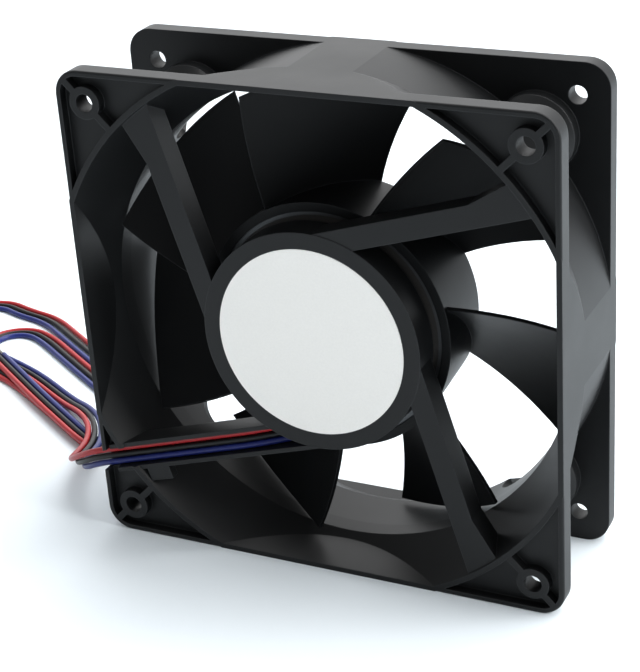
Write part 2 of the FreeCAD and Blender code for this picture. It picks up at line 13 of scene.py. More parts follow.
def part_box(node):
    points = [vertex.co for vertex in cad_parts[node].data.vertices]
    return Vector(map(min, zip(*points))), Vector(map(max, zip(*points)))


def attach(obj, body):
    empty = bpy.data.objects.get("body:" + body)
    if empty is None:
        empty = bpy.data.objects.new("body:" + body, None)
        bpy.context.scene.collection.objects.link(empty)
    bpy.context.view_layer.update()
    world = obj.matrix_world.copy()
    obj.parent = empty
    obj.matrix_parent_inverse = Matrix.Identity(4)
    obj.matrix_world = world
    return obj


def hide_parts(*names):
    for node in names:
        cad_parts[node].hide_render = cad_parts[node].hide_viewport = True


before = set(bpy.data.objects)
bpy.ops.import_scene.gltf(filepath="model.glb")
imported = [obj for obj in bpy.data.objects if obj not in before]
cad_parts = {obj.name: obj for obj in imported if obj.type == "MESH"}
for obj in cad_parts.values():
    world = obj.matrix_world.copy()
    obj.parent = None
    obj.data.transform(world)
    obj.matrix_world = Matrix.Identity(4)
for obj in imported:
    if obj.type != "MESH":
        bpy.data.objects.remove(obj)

LOG = logging.getLogger("cooling_fan")
MM = 0.001

# Sockets of the colour mix node, which has several with the same name
MIX_FACTOR, MIX_DARK, MIX_LIGHT, MIX_COLOUR = 0, 6, 7, 2
# Radians that the wave texture turns through in one unit of its scale
WAVE_RADIANS = 20


class Body(Enum):
    """Bodies of the CAD model that a new piece can ride on."""

    HOUSING = "housing"


class LeadColour(Enum):
    """The three leads, with the place of each across the channel, counted from the middle one."""

    RED = -1
    BLACK = 0
    BLUE = 1


class HankSide(Enum):
    """The two sides of the hank, with the sign of their distance from its middle line."""

    NEAR = -1
    FAR = 1


def linear(hex_colour: str) -> tuple[float, float, float, float]:
    """Turn an sRGB hex colour into linear values.

    Args:
        hex_colour: colour as #rrggbb.

    Returns:
        Red, green, blue and alpha, linear.
    """
    channels = [int(hex_colour[start:start + 2], 16) / 255 for start in (1, 3, 5)]
    red, green, blue = (c / 12.92 if c <= 0.04045 else ((c + 0.055) / 1.055) ** 2.4 for c in channels)
    return red, green, blue, 1.0


def add_node(tree: bpy.types.NodeTree, kind: str, inputs: dict[str | int, Any] | None = None,
             **settings: Any) -> bpy.types.Node:
    """Add a node to a tree, set it up and link what feeds it.

    Args:
        tree: tree that gets the node.
        kind: Blender's name of the node's type.
        inputs: value, output socket or list of output sockets for each named or numbered input.
        settings: properties of the node itself.

    Returns:
        The new node.
    """
    node = tree.nodes.new(kind)
    for name, value in settings.items():
        setattr(node, name, value)
    for key, value in (inputs or {}).items():
        feeds = value if isinstance(value, list) else [value]
        for feed in feeds:
            if isinstance(feed, bpy.types.NodeSocket):
                tree.links.new(feed, node.inputs[key])
            else:
                node.inputs[key].default_value = feed
    return node


@dataclass(frozen=True)
class Finish(ABC):
    """A real material: its name, its gloss and the two colours that its pattern mixes.

    The pattern also moves the roughness up and down by gloss_spread.
    """

    name: str
    dark: str
    light: str
    roughness: float
    metallic: float = 0.0
    ior: float = 1.5
    specular: float = 0.5
    gloss_spread: float = 0.05

    def material(self) -> bpy.types.Material:
        """Give the material of this finish, built the first time it is asked for.

        Returns:
            A node material with one Principled shader.
        """
        material = bpy.data.materials.get(self.name)
        if material is None:
            material = bpy.data.materials.new(self.name)
            material.use_nodes = True
            tree = material.node_tree
            tree.nodes.clear()
            gloss = {"Roughness": self.roughness, "Metallic": self.metallic, "IOR": self.ior,
                     "Specular IOR Level": self.specular}
            shader = add_node(tree, "ShaderNodeBsdfPrincipled", gloss)
            add_node(tree, "ShaderNodeOutputMaterial", {"Surface": shader.outputs["BSDF"]})
            self.paint(tree, shader)
        return material

    @abstractmethod
    def paint(self, tree: bpy.types.NodeTree, shader: bpy.types.Node) -> None:
        """Link this finish's colour, gloss and relief to its shader.

        Args:
            tree: the material's node tree.
            shader: its Principled shader.
        """

    def speckle(self, tree: bpy.types.NodeTree, size_mm: float, detail: float = 2.0) -> bpy.types.NodeSocket:
        """Add a cloudy pattern fixed to the piece.

        Args:
            tree: the material's node tree.
            size_mm: width of its patches.
            detail: how much finer structure it has.

        Returns:
            The pattern, from 0 to 1.
        """
        place = add_node(tree, "ShaderNodeTexCoord")
        noise = add_node(tree, "ShaderNodeTexNoise", {"Vector": place.outputs["Object"],
                                                      "Scale": 1 / (size_mm * MM), "Detail": detail})
        return noise.outputs["Fac"]

    def mottle(self, tree: bpy.types.NodeTree, shader: bpy.types.Node,
               pattern: bpy.types.NodeSocket) -> bpy.types.NodeSocket:
        """Let a pattern vary the gloss of the shader and mix the two colours.

        Args:
            tree: the material's node tree.
            shader: its Principled shader.
            pattern: 0 for the dark, glossier patches to 1 for the light, duller ones.

        Returns:
            The mixed colour.
        """
        gloss = add_node(tree, "ShaderNodeMapRange", {"Value": pattern,
                                                      "To Min": self.roughness - self.gloss_spread,
                                                      "To Max": self.roughness + self.gloss_spread})
        tree.links.new(gloss.outputs["Result"], shader.inputs["Roughness"])
        mix = add_node(tree, "ShaderNodeMix", {MIX_FACTOR: pattern, MIX_DARK: linear(self.dark),
                                               MIX_LIGHT: linear(self.light)}, data_type="RGBA")
        return mix.outputs[MIX_COLOUR]


@dataclass(frozen=True)
class MouldedPlastic(Finish):
    """Glass-filled thermoplastic from a spark-eroded mould: matt grain, faint flow marks, pale rubbed edges.

    The real grain is about 0.1 mm wide, which is too fine to show, so it is drawn four times as coarse.
    Edges are the places where the rounded surface turns away from the flat one: wear_starts and wear_full
    are cosines of the angle between them where the pale colour begins and where it is strongest.
    """

    grain_mm: float = 0.45
    relief_mm: float = 0.012
    relief_strength: float = 0.35
    flow_mm: float = 14.0
    flow_detail: float = 4.0
    edge_mm: float = 0.35
    edge_samples: int = 4
    edge_light: str = "#3a3b3d"
    edge_share: float = 0.6
    wear_starts: float = 0.995
    wear_full: float = 0.85

    def paint(self, tree: bpy.types.NodeTree, shader: bpy.types.Node) -> None:
        """Link grain, flow marks and rubbed edges to the shader.

        Args:
            tree: the material's node tree.
            shader: its Principled shader.
        """
        flow = self.speckle(tree, self.flow_mm, self.flow_detail)
        grain = self.speckle(tree, self.grain_mm)
        rounded = add_node(tree, "ShaderNodeBevel", {"Radius": self.edge_mm * MM}, samples=self.edge_samples)
        flat = add_node(tree, "ShaderNodeNewGeometry")
        facing = add_node(tree, "ShaderNodeVectorMath", {0: rounded.outputs["Normal"],
                                                         1: flat.outputs["Normal"]}, operation="DOT_PRODUCT")
        edge = add_node(tree, "ShaderNodeMapRange", {"Value": facing.outputs["Value"],
                                                     "From Min": self.wear_starts, "From Max": self.wear_full,
                                                     "To Max": self.edge_share})
        worn = add_node(tree, "ShaderNodeMix", {MIX_FACTOR: edge.outputs["Result"],
                                                MIX_DARK: self.mottle(tree, shader, flow),
                                                MIX_LIGHT: linear(self.edge_light)}, data_type="RGBA")
        bump = add_node(tree, "ShaderNodeBump", {"Height": grain, "Strength": self.relief_strength,
                                                 "Distance": self.relief_mm * MM,
                                                 "Normal": rounded.outputs["Normal"]})
        tree.links.new(worn.outputs[MIX_COLOUR], shader.inputs["Base Color"])
        tree.links.new(bump.outputs["Normal"], shader.inputs["Normal"])


@dataclass(frozen=True)
class LabelPaper(Finish):
    """Coated label paper, die cut: a faint fibre cloud and a slight ripple from the glue.

    Fibres are a few hundredths of a millimetre thick, so their cloud is drawn at half a millimetre to show.
    """

    gloss_spread: float = 0.06
    fibre_mm: float = 0.5
    fibre_detail: float = 5.0
    ripple_mm: float = 9.0
    relief_mm: float = 0.05
    relief_strength: float = 0.3

    def paint(self, tree: bpy.types.NodeTree, shader: bpy.types.Node) -> None:
        """Link fibre and ripple to the shader.

        Args:
            tree: the material's node tree.
            shader: its Principled shader.
        """
        fibre = self.speckle(tree, self.fibre_mm, self.fibre_detail)
        ripple = self.speckle(tree, self.ripple_mm)
        bump = add_node(tree, "ShaderNodeBump", {"Height": ripple, "Strength": self.relief_strength,
                                                 "Distance": self.relief_mm * MM})
        tree.links.new(self.mottle(tree, shader, fibre), shader.inputs["Base Color"])
        tree.links.new(bump.outputs["Normal"], shader.inputs["Normal"])


@dataclass(frozen=True)
class TurnedMetal(Finish):
    """Metal turned, drawn or ground about the fan axis, or stacked along it: fine rings and a slight stain.

    Tool marks are about 0.1 mm apart, which is too fine to show, so they are drawn at least eight times as
    coarse. Stacked sheets are drawn at their real thickness.
    """

    gloss_spread: float = 0.08
    ring_mm: float = 1.5
    ring_waver: float = 1.5
    relief_mm: float = 0.01
    relief_strength: float = 0.2
    stain_mm: float = 5.0
    stain_detail: float = 4.0

    def paint(self, tree: bpy.types.NodeTree, shader: bpy.types.Node) -> None:
        """Link rings and stain to the shader.

        Args:
            tree: the material's node tree.
            shader: its Principled shader.
        """
        place = add_node(tree, "ShaderNodeTexCoord")
        rings = add_node(tree, "ShaderNodeTexWave", {"Vector": place.outputs["Object"],
                                                     "Distortion": self.ring_waver,
                                                     "Scale": math.tau / (WAVE_RADIANS * self.ring_mm * MM)},
                         bands_direction="Y")
        bump = add_node(tree, "ShaderNodeBump", {"Height": rings.outputs["Fac"],
                                                 "Strength": self.relief_strength,
                                                 "Distance": self.relief_mm * MM})
        stain = self.speckle(tree, self.stain_mm, self.stain_detail)
        tree.links.new(self.mottle(tree, shader, stain), shader.inputs["Base Color"])
        tree.links.new(bump.outputs["Normal"], shader.inputs["Normal"])


@dataclass(frozen=True)
class GrainedSolid(Finish):
    """Cast, pressed or moulded small part: two close colours in a grain, and the same grain in its relief.

    Such grains are under 0.1 mm wide, so they are drawn several times as coarse to show.
    """

    grain_mm: float = 0.6
    grain_detail: float = 3.0
    relief_mm: float = 0.02
    relief_strength: float = 0.4

    def paint(self, tree: bpy.types.NodeTree, shader: bpy.types.Node) -> None:
        """Link the grain to the shader.

        Args:
            tree: the material's node tree.
            shader: its Principled shader.
        """
        grain = self.speckle(tree, self.grain_mm, self.grain_detail)
        bump = add_node(tree, "ShaderNodeBump", {"Height": grain, "Strength": self.relief_strength,
                                                 "Distance": self.relief_mm * MM})
        tree.links.new(self.mottle(tree, shader, grain), shader.inputs["Base Color"])
        tree.links.new(bump.outputs["Normal"], shader.inputs["Normal"])


@dataclass(frozen=True)
class CableSheath(Finish):
    """Extruded PVC sheath: even colour, soft gloss and faint drag marks.

    The die's marks are about 0.1 mm wide, so they are drawn ten times as coarse to show.
    """

    gloss_spread: float = 0.07
    drag_mm: float = 1.2
    drag_detail: float = 3.0
    relief_mm: float = 0.02
    relief_strength: float = 0.15

    def paint(self, tree: bpy.types.NodeTree, shader: bpy.types.Node) -> None:
        """Link drag marks to the shader.

        Args:
            tree: the material's node tree.
            shader: its Principled shader.
        """
        drag = self.speckle(tree, self.drag_mm, self.drag_detail)
        bump = add_node(tree, "ShaderNodeBump", {"Height": drag, "Strength": self.relief_strength,
                                                 "Distance": self.relief_mm * MM})
        tree.links.new(self.mottle(tree, shader, drag), shader.inputs["Base Color"])
        tree.links.new(bump.outputs["Normal"], shader.inputs["Normal"])


@dataclass(frozen=True)
class SweepPaper(Finish):
    """Seamless paper under the part: almost even, with the faintest cloud."""

    cloud_mm: float = 300.0

    def paint(self, tree: bpy.types.NodeTree, shader: bpy.types.Node) -> None:
        """Link the cloud to the shader.

        Args:
            tree: the material's node tree.
            shader: its Principled shader.
        """
        cloud = self.speckle(tree, self.cloud_mm)
        tree.links.new(self.mottle(tree, shader, cloud), shader.inputs["Base Color"])


# Moulded glass-filled plastic: a deep matt black with one broad, weak sheen, greyer along rubbed edges
FRAME_PLASTIC = MouldedPlastic("black_glass_filled_plastic_moulded", "#0f1011", "#151617", 0.46, ior=1.55,
                               specular=0.2)
# The same plastic in the blades, matched to the object as it looks in the frame's shade: a shade darker, with
# hardly any sheen; the darker colour and the weaker sheen are painted shade
SHADED_BLADE_PLASTIC = MouldedPlastic("black_glass_filled_plastic_blades", "#0d0e0f", "#131415", 0.46, ior=1.55,
                               specular=0.12)
# Coated paper, die cut: a bright, slightly warm white, flat to the eye
LABEL_PAPER = LabelPaper("coated_label_paper", "#eeebe6", "#f7f4ef", 0.5)
# Drawn and zinc-plated steel: mid grey with blurred ring highlights
CUP_STEEL = TurnedMetal("zinc_plated_steel_drawn", "#4a4b4d", "#67696b", 0.5, metallic=1.0)
# Ground bearing steel: pale and nearly a mirror, with close rings
GROUND_STEEL = TurnedMetal("bearing_steel_ground", "#b4b6b8", "#d0d1d2", 0.2, metallic=1.0, ring_mm=0.8)
# Oiled spring steel: brownish grey and half bright
SPRING_STEEL = TurnedMetal("spring_steel_oiled", "#5b5852", "#7d7a73", 0.35, metallic=1.0)
# Stacked silicon steel sheets: dull grey edges in even layers
CORE_STEEL = TurnedMetal("silicon_steel_laminated", "#5c5e60", "#85878a", 0.45, metallic=1.0, ring_mm=0.5)
# Turned brass: warm yellow with bright tool rings
BRASS = TurnedMetal("brass_turned", "#a97d31", "#cfa452", 0.28, metallic=1.0)
# Pressed bonded ferrite: charcoal, dead matt
FERRITE = GrainedSolid("bonded_ferrite_pressed", "#2b2927", "#3b3836", 0.6)
# Moulded natural nylon: milky cream, half matt
NYLON = GrainedSolid("natural_nylon_moulded", "#d5cbb2", "#e3dac4", 0.5, ior=1.53, grain_mm=2.0)
# Glass laminate under a solder mask: green with a wet gloss
BOARD = GrainedSolid("green_glass_laminate_masked", "#1c4a26", "#2a6a37", 0.35, ior=1.55, grain_mm=1.5)
# Moulded epoxy: near black and dull
EPOXY = GrainedSolid("black_epoxy_moulded", "#161616", "#202020", 0.55, ior=1.55)
# Drawn aluminium: pale, with a satin gleam
CAN = GrainedSolid("aluminium_can_drawn", "#a9abad", "#c6c8ca", 0.3, metallic=1.0, grain_mm=2.0)
# Reflowed tin solder: silvery, with wet highlights
SOLDER = GrainedSolid("tin_solder_reflowed", "#a7a8a8", "#c9caca", 0.25, metallic=1.0)
# Enamelled copper wire: reddish brown, with a glint along each turn
COPPER = GrainedSolid("enamelled_copper_wire", "#7a3516", "#a9552a", 0.28, metallic=1.0)
# Tinned copper strand: pale grey, glittering from strand to strand
TINNED = GrainedSolid("tinned_copper_strand", "#a2a29f", "#c9c9c5", 0.3, metallic=1.0, grain_mm=0.3)
# Extruded PVC: strong, even colours, with a soft streak of light along each lead
SHEATHS = {
    LeadColour.RED: CableSheath("red_pvc_sheath", "#8f1218", "#a81c22", 0.36, ior=1.53, specular=0.3),
    LeadColour.BLACK: CableSheath("black_pvc_sheath", "#08080a", "#0e0e10", 0.4, ior=1.53, specular=0.25),
    LeadColour.BLUE: CableSheath("blue_pvc_sheath", "#131b55", "#1d2a74", 0.36, ior=1.53, specular=0.3),
}
# Seamless paper: a cool, even white without shine
FLOOR_PAPER = SweepPaper("white_paper_sweep", "#e0e9ef", "#eaf1f5", 0.8)

CAD_FINISHES: dict[str, Finish] = {
    # The impeller takes the darkened copy of the frame plastic, which is painted shade
    "frame": FRAME_PLASTIC, "label": LABEL_PAPER, "impeller": SHADED_BLADE_PLASTIC,
    "rotor_cup": CUP_STEEL, "ring_magnet": FERRITE, "shaft": GROUND_STEEL, "shaft_bush": BRASS,
    "retaining_clip": SPRING_STEEL, "preload_washer": SPRING_STEEL, "bearing_tube": BRASS,
    "stator_core": CORE_STEEL, "inlet_insulator": NYLON, "outlet_insulator": NYLON,
    "driver_board": BOARD, "hall_sensor": EPOXY, "driver_chip": EPOXY, "board_capacitor": CAN,
    "lead_terminals": SOLDER,
    **{f"{end}_bearing_{part}": GROUND_STEEL for end in ("outlet", "inlet")
       for part in ("outer_ring", "inner_ring", "shields")},
}


def node_group(name: str, sizes: dict[str, str]) -> bpy.types.GeometryNodeTree:
    """Start a Geometry Nodes tree with named inputs.

    Args:
        name: name of the tree.
        sizes: socket type of each named input.

    Returns:
        The tree, with a Geometry output.
    """
    tree = bpy.data.node_groups.new(name, "GeometryNodeTree")
    tree.interface.new_socket("Geometry", in_out="OUTPUT", socket_type="NodeSocketGeometry")
    for label, kind in sizes.items():
        tree.interface.new_socket(label, in_out="INPUT", socket_type=kind)
    return tree


def grown_mesh(name: str, tree: bpy.types.GeometryNodeTree, values: dict[str, Any],
               place: Matrix) -> bpy.types.Object:
    """Run a Geometry Nodes tree once and keep its result as a plain mesh object.

    Args:
        name: name of the piece.
        tree: tree that makes it.
        values: value of each named input.
        place: where the result goes, applied to its mesh.

    Returns:
        A mesh object at the origin.
    """
    piece = bpy.data.objects.new(name, bpy.data.meshes.new(name))
    bpy.context.scene.collection.objects.link(piece)
    modifier = piece.modifiers.new(tree.name, "NODES")
    modifier.node_group = tree
    for item in tree.interface.items_tree:
        if item.in_out == "INPUT":
            modifier[item.identifier] = values[item.name]
    shape = piece.evaluated_get(bpy.context.evaluated_depsgraph_get())
    mesh = bpy.data.meshes.new_from_object(shape)
    piece.modifiers.remove(modifier)
    # Realize Instances leaves an empty slot ahead of the one that Set Material fills
    if mesh.materials[0] is None:
        mesh.materials.pop(index=0)
    piece.data = mesh
    mesh.name = name
    mesh.transform(place)
    return piece


@dataclass
class StrandTip:
    """Stripped end of a lead: fine tinned strands laid round a straight one."""

    strands: int = 6
    strand_radius_mm: float = 0.13
    strand_sides: int = 8
    lay_radius_mm: float = 0.28
    lay_steps: int = 24
    length_mm: float = 6.0
    turns: float = 0.7

    def tree(self) -> bpy.types.GeometryNodeTree:
        """Give the tree that lays the strands, built once.

        Returns:
            A Geometry Nodes tree with named sizes.
        """
        name = "strand_tip"
        if name in bpy.data.node_groups:
            return bpy.data.node_groups[name]
        tree = node_group(name, {"Strands": "NodeSocketInt", "Strand Radius": "NodeSocketFloat",
                                 "Lay Radius": "NodeSocketFloat", "Length": "NodeSocketFloat",
                                 "Turns": "NodeSocketFloat", "Material": "NodeSocketMaterial"})
        sizes = add_node(tree, "NodeGroupInput").outputs
        profile = add_node(tree, "GeometryNodeCurvePrimitiveCircle", {"Resolution": self.strand_sides,
                                                                      "Radius": sizes["Strand Radius"]})
        spiral = add_node(tree, "GeometryNodeCurveSpiral",
                          {"Resolution": self.lay_steps, "Rotations": sizes["Turns"],
                           "Start Radius": sizes["Lay Radius"], "End Radius": sizes["Lay Radius"],
                           "Height": sizes["Length"]})
        laid = add_node(tree, "GeometryNodeCurveToMesh", {"Curve": spiral.outputs["Curve"], "Fill Caps": True,
                                                          "Profile Curve": profile.outputs["Curve"]})
        step = add_node(tree, "ShaderNodeMath", {0: math.tau, 1: sizes["Strands"]}, operation="DIVIDE")
        index = add_node(tree, "GeometryNodeInputIndex")
        angle = add_node(tree, "ShaderNodeMath", {0: index.outputs["Index"], 1: step.outputs["Value"]},
                         operation="MULTIPLY")
        turn = add_node(tree, "ShaderNodeCombineXYZ", {"Z": angle.outputs["Value"]})
        seats = add_node(tree, "GeometryNodePoints", {"Count": sizes["Strands"]})
        ring = add_node(tree, "GeometryNodeInstanceOnPoints", {"Points": seats.outputs["Points"],
                                                               "Instance": laid.outputs["Mesh"],
                                                               "Rotation": turn.outputs["Vector"]})
        end = add_node(tree, "ShaderNodeCombineXYZ", {"Z": sizes["Length"]})
        middle = add_node(tree, "GeometryNodeCurvePrimitiveLine", {"End": end.outputs["Vector"]})
        core = add_node(tree, "GeometryNodeCurveToMesh", {"Curve": middle.outputs["Curve"], "Fill Caps": True,
                                                          "Profile Curve": profile.outputs["Curve"]})
        bundle = add_node(tree, "GeometryNodeJoinGeometry",
                          {"Geometry": [ring.outputs["Instances"], core.outputs["Mesh"]]})
        whole = add_node(tree, "GeometryNodeRealizeInstances", {"Geometry": bundle.outputs["Geometry"]})
        dressed = add_node(tree, "GeometryNodeSetMaterial", {"Geometry": whole.outputs["Geometry"],
                                                             "Material": sizes["Material"]})
        add_node(tree, "NodeGroupOutput", {"Geometry": dressed.outputs["Geometry"]})
        return tree

    def build(self, name: str, end: Vector, ahead: Vector) -> bpy.types.Object:
        """Make one stripped end.

        Args:
            name: name of the piece.
            end: point where the sheath ends.
            ahead: direction of the lead there.

        Returns:
            The strands as one mesh.
        """
        place = Matrix.Translation(end) @ ahead.to_track_quat("Z", "Y").to_matrix().to_4x4()
        values = {"Strands": self.strands, "Strand Radius": self.strand_radius_mm * MM,
                  "Lay Radius": self.lay_radius_mm * MM, "Length": self.length_mm * MM, "Turns": self.turns,
                  "Material": TINNED.material()}
        return grown_mesh(name, self.tree(), values, place)


@dataclass
class Winding:
    """Outer layer of wire on each pole of the stator, in place of the plain coil solid."""

    wire_radius_mm: float = 0.18
    wire_sides: int = 6
    corner_mm: float = 1.7
    corner_steps: int = 4

    def tree(self) -> bpy.types.GeometryNodeTree:
        """Give the tree that lays the turns, built once.

        Returns:
            A Geometry Nodes tree with named sizes.
        """
        name = "wire_turns"
        if name in bpy.data.node_groups:
            return bpy.data.node_groups[name]
        tree = node_group(name, {"Turns": "NodeSocketInt", "Pitch": "NodeSocketFloat",
                                 "Width": "NodeSocketFloat", "Height": "NodeSocketFloat",
                                 "Corner": "NodeSocketFloat", "Wire Radius": "NodeSocketFloat",
                                 "Material": "NodeSocketMaterial"})
        sizes = add_node(tree, "NodeGroupInput").outputs
        square = add_node(tree, "GeometryNodeCurvePrimitiveQuadrilateral", {"Width": sizes["Width"],
                                                                            "Height": sizes["Height"]})
        loop = add_node(tree, "GeometryNodeFilletCurve", {"Curve": square.outputs["Curve"],
                                                          "Count": self.corner_steps,
                                                          "Radius": sizes["Corner"]}, mode="POLY")
        profile = add_node(tree, "GeometryNodeCurvePrimitiveCircle", {"Resolution": self.wire_sides,
                                                                      "Radius": sizes["Wire Radius"]})
        wire = add_node(tree, "GeometryNodeCurveToMesh", {"Curve": loop.outputs["Curve"],
                                                          "Profile Curve": profile.outputs["Curve"]})
        step = add_node(tree, "ShaderNodeCombineXYZ", {"Z": sizes["Pitch"]})
        line = add_node(tree, "GeometryNodeMeshLine", {"Count": sizes["Turns"],
                                                       "Offset": step.outputs["Vector"]}, mode="OFFSET")
        turns = add_node(tree, "GeometryNodeInstanceOnPoints", {"Points": line.outputs["Mesh"],
                                                                "Instance": wire.outputs["Mesh"]})
        whole = add_node(tree, "GeometryNodeRealizeInstances", {"Geometry": turns.outputs["Instances"]})
        dressed = add_node(tree, "GeometryNodeSetMaterial", {"Geometry": whole.outputs["Geometry"],
                                                             "Material": sizes["Material"]})
        add_node(tree, "NodeGroupOutput", {"Geometry": dressed.outputs["Geometry"]})
        return tree

    def build(self, node: str, axis: Vector) -> bpy.types.Object:
        """Wind one coil.

        Args:
            node: CAD node that the winding stands for.
            axis: any point of the fan axis.

        Returns:
            The winding as one mesh.
        """
        low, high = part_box(node)
        middle = (low + high) / 2
        outward = Vector((middle.x - axis.x, 0, middle.z - axis.z)).normalized()
        along = Vector((0, 1, 0))
        across = along.cross(outward)
        size = high - low
        length = abs(size.dot(outward))
        pitch = 2 * self.wire_radius_mm * MM
        turns = int(length / pitch)
        start = middle - outward * ((turns - 1) * pitch / 2)
        place = Matrix((across, along, outward)).transposed().to_4x4()
        place.translation = start
        values = {"Turns": turns, "Pitch": pitch, "Width": abs(size.dot(across)) - pitch,
                  "Height": size.y - pitch, "Corner": self.corner_mm * MM, "Wire Radius": pitch / 2,
                  "Material": COPPER.material()}
        piece = grown_mesh(f"winding_{node}", self.tree(), values, place)
        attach(piece, Body.HOUSING.value)
        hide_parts(node)
        return piece


@dataclass
class Fan:
    """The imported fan: finishes for its CAD pieces, and its windings."""

    axis: Vector

    def dress(self) -> list[bpy.types.Object]:
        """Give each CAD piece that stays in view the finish of its real material; the blades get a darkened
        copy of the frame plastic as painted shade.

        Returns:
            The dressed CAD pieces.
        """
        pieces = []
        for node, finish in CAD_FINISHES.items():
            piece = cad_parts[node]
            for slot in piece.material_slots:
                slot.material = finish.material()
            pieces.append(piece)
        return pieces

    def wind(self) -> list[bpy.types.Object]:
        """Put wire turns on the four poles.

        Returns:
            The windings.
        """
        winding = Winding()
        coils = sorted(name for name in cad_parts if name.startswith("coil_"))
        return [winding.build(node, self.axis) for node in coils]

    def build(self) -> list[bpy.types.Object]:
        """Dress the CAD pieces and wind the poles."""
        return self.dress() + self.wind()


@dataclass(frozen=True)
class FloorStop:
    """A stop of the middle lead on its way down, with the way from it towards the red lead."""

    at_mm: tuple[float, float, float]
    towards_red: tuple[float, float, float]


@dataclass(frozen=True)
class HankPass:
    """One run of the leads along the hank.

    Each stop gives the distance from the right turn's middle, the distance of the innermost lead from the
    hank's middle line, and the height.
    """

    side: HankSide
    pitch_mm: float
    stops_mm: tuple[tuple[float, float, float], ...]


@dataclass
class Leads:
    """Three free leads: along the channel, down to the floor and round a loose hank to bare ends."""

    diameter_mm: float = 1.6
    length_m: float = 0.633
    curve_steps: int = 10
    round_steps: int = 4

    # Way along the strut, inside the motor base and then in the channel. The stops are those of the CAD
    # tubes, with one more near each end of the long straight run
    pitch_mm: float = 1.75
    strut_tilt_deg: float = 16.7
    strut_offset_mm: float = 22.4
    axis_height_mm: float = 60.0
    inner_mm: float = 14.4
    inner_stops_mm: tuple[float, ...] = (3.0, 14.0)
    channel_mm: float = 16.1
    channel_stops_mm: tuple[float, ...] = (25.0, 36.0, 63.0, 73.0)
    exit_along_mm: float = 15.0

    # Way down to the floor, as the CAD tubes go
    floor_pitch_mm: float = 2.0
    floor_stops: tuple[FloorStop, ...] = (
        FloorStop((-71.0, -13.0, 13.0), (-0.62, -0.10, 0.70)),
        FloorStop((-76.5, -7.0, 8.8), (-0.80, -0.35, 0.40)),
        FloorStop((-80.0, 1.0, 6.2), (-0.88, -0.45, 0.10)),
        FloorStop((-83.0, 11.0, 4.2), (-0.93, -0.36, 0.0)))

    # Hank about the middles of its two turns, with the heights of a lead on the floor and of one on others
    hank_right_mm: tuple[float, float] = (-76.0, 18.0)
    hank_left_mm: tuple[float, float] = (-161.5, 73.6)
    floor_lay_mm: float = 0.85
    second_lay_mm: float = 2.4
    turn_lead_mm: float = 3.0
    turn_shares: tuple[float, ...] = (0.2, 0.5, 0.8)

    def hank_passes(self) -> list[HankPass]:
        """List the runs of the hank: two loops on the floor, and a last run laid over them.

        Returns:
            The runs in order, from the frame to the bare ends.
        """
        near, far = HankSide.NEAR, HankSide.FAR
        floor, second = self.floor_lay_mm, self.second_lay_mm
        return [
            HankPass(near, 1.8, ((12, 3.0, 4.0), (22, 1.4, 3.2), (34, 1.4, floor), (54, 2.2, floor),
                                 (66, 4.4, floor), (77, 7.0, floor))),
            HankPass(far, 2.1, ((76, 7.0, floor), (62, 6.8, floor), (45, 6.7, floor), (28, 6.8, floor),
                                (10, 7.0, floor))),
            HankPass(near, 1.8, ((8, 7.1, floor), (30, 7.1, floor), (54, 7.8, floor), (66, 10.2, floor),
                                 (77, 12.8, floor), (87, 12.6, floor), (99, 10.5, floor))),
            HankPass(far, 2.4, ((99, 9.0, floor), (88, 13.4, floor), (74, 13.2, floor), (55, 13.0, floor),
                                (36, 13.2, floor), (24, 12.4, second), (10, 7.7, second))),
            HankPass(near, 1.8, ((8, 7.9, second), (22, 8.0, second), (38, 8.0, second), (56, 7.5, second),
                                 (72, 7.0, second))),
        ]

    def channel_point(self, along: float, aside: float, height: float) -> Vector:
        """Place a point of the channel in the frame of the part.

        Args:
            along: distance along the strut.
            aside: distance across it.
            height: distance in front of the fan's middle plane.

        Returns:
            The point, in millimetres.
        """
        cosine = math.cos(math.radians(self.strut_tilt_deg))
        sine = math.sin(math.radians(self.strut_tilt_deg))
        across = self.strut_offset_mm + aside
        rise = self.axis_height_mm - sine * along - cosine * across
        return Vector((sine * across - cosine * along, -height, rise))

    def hank_point(self, along: float, aside: float, height: float) -> Vector:
        """Place a point of the hank in the frame of the part.

        Args:
            along: distance from the middle of the right turn towards the left one.
            aside: distance from the middle line, away from the viewer.
            height: height over the floor.

        Returns:
            The point, in millimetres.
        """
        right = Vector((*self.hank_right_mm, height))
        ahead = (Vector((*self.hank_left_mm, height)) - right).normalized()
        return right + ahead * along + Vector((ahead.y, -ahead.x, 0.0)) * aside

    def turn_points(self, leg: HankPass, following: HankPass, order: int) -> list[Vector]:
        """Work out the turn of one lead from a run into the next one.

        Args:
            leg: run before the turn.
            following: run after it.
            order: the lead's place in the bundle, 0 for the innermost.

        Returns:
            Points in millimetres.
        """
        first_along, first_offset, _ = leg.stops_mm[-1]
        last_along, last_offset, height = following.stops_mm[0]
        first_radius = first_offset + order * leg.pitch_mm
        last_radius = last_offset + order * following.pitch_mm
        forward = 1 if first_along > leg.stops_mm[0][0] else -1
        points = []
        for share in self.turn_shares:
            angle = math.pi * (share - 0.5)
            radius = first_radius + (last_radius - first_radius) * share
            centre = first_along + (last_along - first_along) * share
            reach = self.turn_lead_mm + radius * math.cos(angle)
            aside = -leg.side.value * radius * math.sin(angle)
            points.append(self.hank_point(centre + forward * reach, aside, height))
        return points

    def hank_points(self, order: int) -> list[Vector]:
        """Work out the runs and turns of one lead in the hank.

        Args:
            order: its place in the bundle, 0 for the innermost.

        Returns:
            Points in millimetres.
        """
        passes = self.hank_passes()
        points = []
        for number, leg in enumerate(passes):
            if number:
                points += self.turn_points(passes[number - 1], leg, order)
            points += [self.hank_point(along, leg.side.value * (offset + order * leg.pitch_mm), height)
                       for along, offset, height in leg.stops_mm]
        return points

